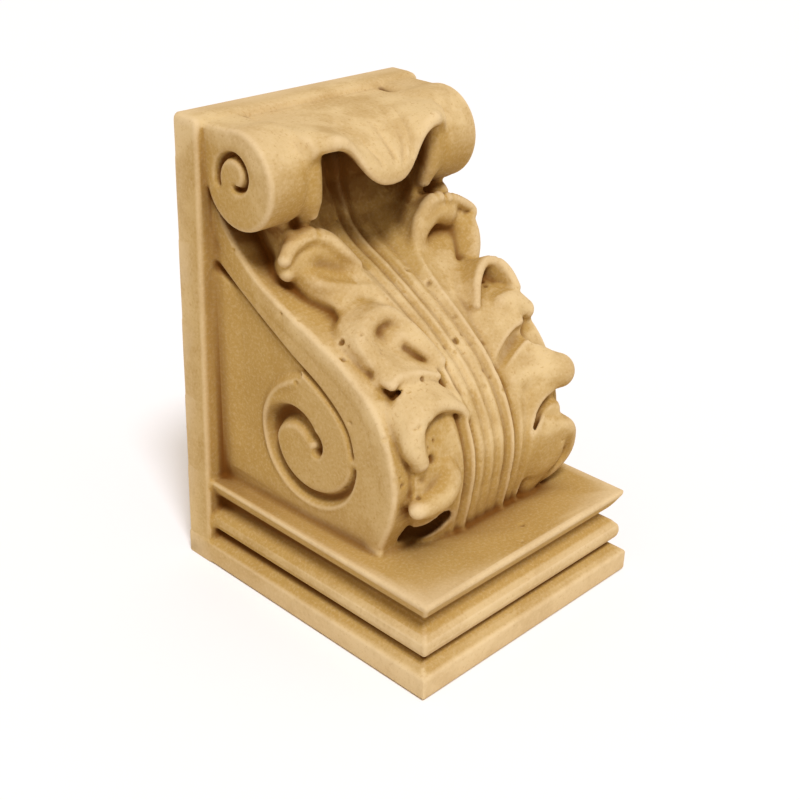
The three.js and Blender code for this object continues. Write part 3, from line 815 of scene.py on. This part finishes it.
def node_in(tree, kind, settings=None, **values):
    """A node with its settings, and with each input set to a value or linked to a socket."""
    node = tree.nodes.new(kind)
    for key, value in (settings or {}).items():
        setattr(node, key, value)
    for key, value in values.items():
        socket = node.inputs[int(key[1:])]
        if isinstance(value, bpy.types.NodeSocket):
            tree.links.new(value, socket)
        else:
            socket.default_value = value
    return node


def noise_in(tree, place, scale, detail, roughness):
    """Noise over a place, from 0 to 1."""
    noise = node_in(tree, "ShaderNodeTexNoise", _0=place, _2=scale, _3=detail, _4=roughness)
    return noise.outputs[0]


def measure_in(tree, name):
    """A measure that the mesh holds for each of its points."""
    return node_in(tree, "ShaderNodeAttribute", {"attribute_name": name}).outputs["Fac"]


def ramp_in(tree, value, from_low, from_high):
    """A smooth step of a value from 0 to 1."""
    kind = {"interpolation_type": "SMOOTHSTEP"}
    ramp = node_in(tree, "ShaderNodeMapRange", kind, _0=value, _1=from_low, _2=from_high)
    return ramp.outputs[0]


def part_of(tree, most, value, from_low, from_high):
    """A smooth step of a value from 0 to the most."""
    step = ramp_in(tree, value, from_low, from_high)
    return node_in(tree, "ShaderNodeMath", {"operation": "MULTIPLY"}, _0=step, _1=most).outputs[0]


def mixed(tree, factor, first, second):
    """A colour between two, at the second where the factor is 1."""
    mix = node_in(tree, "ShaderNodeMix", {"data_type": "RGBA"}, _0=factor, _6=first, _7=second)
    return mix.outputs[2]


sand, sand_in, sand_out = group_of(
    "cast_stone_grain_and_shade",
    [
        ("Stone", "NodeSocketColor", (0.72, 0.535, 0.265, 1)),
        # Painted shade: the dark brown laid in hollows, sheltered places and creases.
        ("Painted Shade", "NodeSocketColor", (0.15, 0.048, 0.003, 1)),
        # Worn edges, paler, partly a painted highlight.
        ("Wear And Highlight", "NodeSocketColor", (0.78, 0.6, 0.36, 1)),
    ],
    [("Color", "NodeSocketColor"), ("Height", "NodeSocketFloat"), ("Rough", "NodeSocketFloat")],
)
spot = node_in(sand, "ShaderNodeTexCoord").outputs["Object"]
drift = noise_in(sand, spot, scale=13.0, detail=3.0, roughness=0.55)
cloud = noise_in(sand, spot, scale=38.0, detail=4.0, roughness=0.6)
speck = noise_in(sand, spot, scale=620.0, detail=3.0, roughness=0.65)
dust = noise_in(sand, spot, scale=2300.0, detail=2.0, roughness=0.6)
crease = measure_in(sand, "crease")
hollow = measure_in(sand, "hollow")
cut_off = measure_in(sand, "sheltered")
clouded_tone = (0.62, 0.44, 0.2, 1)
drifted_tone = (0.64, 0.46, 0.22, 1)
powder_tone = (0.7, 0.52, 0.28, 1)
dark_grain_tone = (0.5, 0.31, 0.12, 1)
# Painted shade for faces that turn sideways.
painted_side_shade_tone = (0.45, 0.27, 0.065, 1)
stain_tone = (0.41, 0.24, 0.06, 1)
stone_tone, painted_shade_tone, wear_and_highlight_tone = (sand_in.outputs[name] for name in ("Stone", "Painted Shade", "Wear And Highlight"))

# Each tone is laid over those before it: the mixed stone first, then painted shade on faces that turn
# sideways, stains, powder and worn edges with some painted highlight, and the painted shade of hollows,
# sheltered places and creases last.
tone = mixed(sand, ramp_in(sand, cloud, 0.38, 0.62), stone_tone, clouded_tone)
tone = mixed(sand, ramp_in(sand, drift, 0.45, 0.68), tone, drifted_tone)
tone = mixed(sand, ramp_in(sand, speck, 0.5, 0.85), tone, powder_tone)
tone = mixed(sand, ramp_in(sand, speck, 0.45, 0.22), tone, dark_grain_tone)
# Painted shade: browner where a little of the sky is cut off, as on faces that turn sideways.
tone = mixed(sand, part_of(sand, 0.9, cut_off, 0.08, 0.27), tone, painted_side_shade_tone)
tone = mixed(sand, part_of(sand, 0.32, cloud, 0.44, 0.68), tone, stain_tone)
tone = mixed(sand, part_of(sand, 0.3, speck, 0.42, 0.75), tone, powder_tone)
# Paler worn edges where little stone surrounds a point, partly a painted highlight.
tone = mixed(sand, part_of(sand, 0.4, crease, 0.47, 0.34), tone, wear_and_highlight_tone)
# Painted shade, dark brown, in hollows, sheltered places and creases.
tone = mixed(sand, part_of(sand, 0.95, hollow, 0.56, 0.76), tone, painted_shade_tone)
tone = mixed(sand, part_of(sand, 0.94, cut_off, 0.3, 0.9), tone, painted_shade_tone)
tone = mixed(sand, part_of(sand, 0.62, crease, 0.52, 0.74), tone, painted_shade_tone)
sand.links.new(tone, sand_out.inputs["Color"])
dust_share = 0.35
added = {"operation": "MULTIPLY_ADD"}
raised = node_in(sand, "ShaderNodeMath", added, _0=dust, _1=dust_share, _2=speck).outputs[0]
sand.links.new(raised, sand_out.inputs["Height"])
smoothest = 0.8
roughest = 0.95
matt = node_in(sand, "ShaderNodeMapRange", _0=speck, _3=smoothest, _4=roughest).outputs[0]
sand.links.new(matt, sand_out.inputs["Rough"])

grain_node = nodes.new("ShaderNodeGroup")
grain_node.node_tree = sand
relief_node = nodes.new("ShaderNodeBump")
relief_node.inputs["Strength"].default_value = 0.35
relief_node.inputs["Distance"].default_value = 0.0006
links.new(grain_node.outputs["Height"], relief_node.inputs["Height"])
links.new(grain_node.outputs["Color"], shader.inputs["Base Color"])
links.new(grain_node.outputs["Rough"], shader.inputs["Roughness"])
links.new(relief_node.outputs["Normal"], shader.inputs["Normal"])
shader.inputs["Specular IOR Level"].default_value = 0.12
mesh.materials.append(stone)

# The floor, a pale flat sweep that the corbel stands on.
floor_size = 8
bpy.ops.mesh.primitive_plane_add(size=floor_size, location=(0, 0, 0))
floor = bpy.context.object
floor.name = "floor"
pale = bpy.data.materials.new("floor_pale")
pale.use_nodes = True
pale_shader = pale.node_tree.nodes["Principled BSDF"]
pale_shader.inputs["Base Color"].default_value = (0.97, 0.97, 0.97, 1)
pale_shader.inputs["Roughness"].default_value = 0.9
floor.data.materials.append(pale)

# Soft studio light: a broad key from above in front, a weak fill from the right, a warm surround.
world = bpy.data.worlds.new("studio")
bpy.context.scene.world = world
world.use_nodes = True
surround = world.node_tree.nodes["Background"]
surround.inputs["Color"].default_value = (1, 0.84, 0.66, 1)
surround.inputs["Strength"].default_value = 0.5


def lamp(name, place, spread, energy, tint):
    """A sun that shines from a place toward the middle of the floor."""
    light = bpy.data.lights.new(name, "SUN")
    light.color = tint
    light.angle = math.radians(spread)
    light.energy = energy
    holder = bpy.data.objects.new(name, light)
    bpy.context.scene.collection.objects.link(holder)
    holder.location = place
    holder.rotation_euler = Vector(place).to_track_quat("Z", "Y").to_euler()


lamp("key", (-0.3, -0.5, 1.0), 14, 2.3, (0.96, 1, 1.12))
lamp("fill", (0.5, -0.9, 0.5), 50, 0.1, (1, 1, 1))
bpy.context.scene.view_settings.view_transform = "Standard"

# The camera stands where the photograph was taken from: in front on the left, looking down.
azimuth = math.radians(45.997)
elevation = math.radians(27.006)
roll_angle = math.radians(1.322)
camera_at = (-0.44508, -0.4221, 0.41345)
sensor_width = 36
focal_pixels = 1298.03
photo_width = 800
right = np.array([math.cos(azimuth), -math.sin(azimuth), 0])
forward = np.array([
    math.sin(azimuth) * math.cos(elevation),
    math.cos(azimuth) * math.cos(elevation),
    -math.sin(elevation),
])
upward = np.cross(right, forward)
level = math.cos(roll_angle) * right + math.sin(roll_angle) * upward
vertical = -math.sin(roll_angle) * right + math.cos(roll_angle) * upward
camera = bpy.data.objects.new("camera", bpy.data.cameras.new("camera"))
bpy.context.scene.collection.objects.link(camera)
camera.data.sensor_width = sensor_width
camera.data.lens = sensor_width * focal_pixels / photo_width
axes = np.stack([level, vertical, -forward], axis=1)
matrix = np.eye(4)
matrix[:3, :3] = axes
matrix[:3, 3] = camera_at
camera.matrix_world = Matrix(matrix.tolist())
bpy.context.scene.camera = camera

bpy.context.view_layer.update()
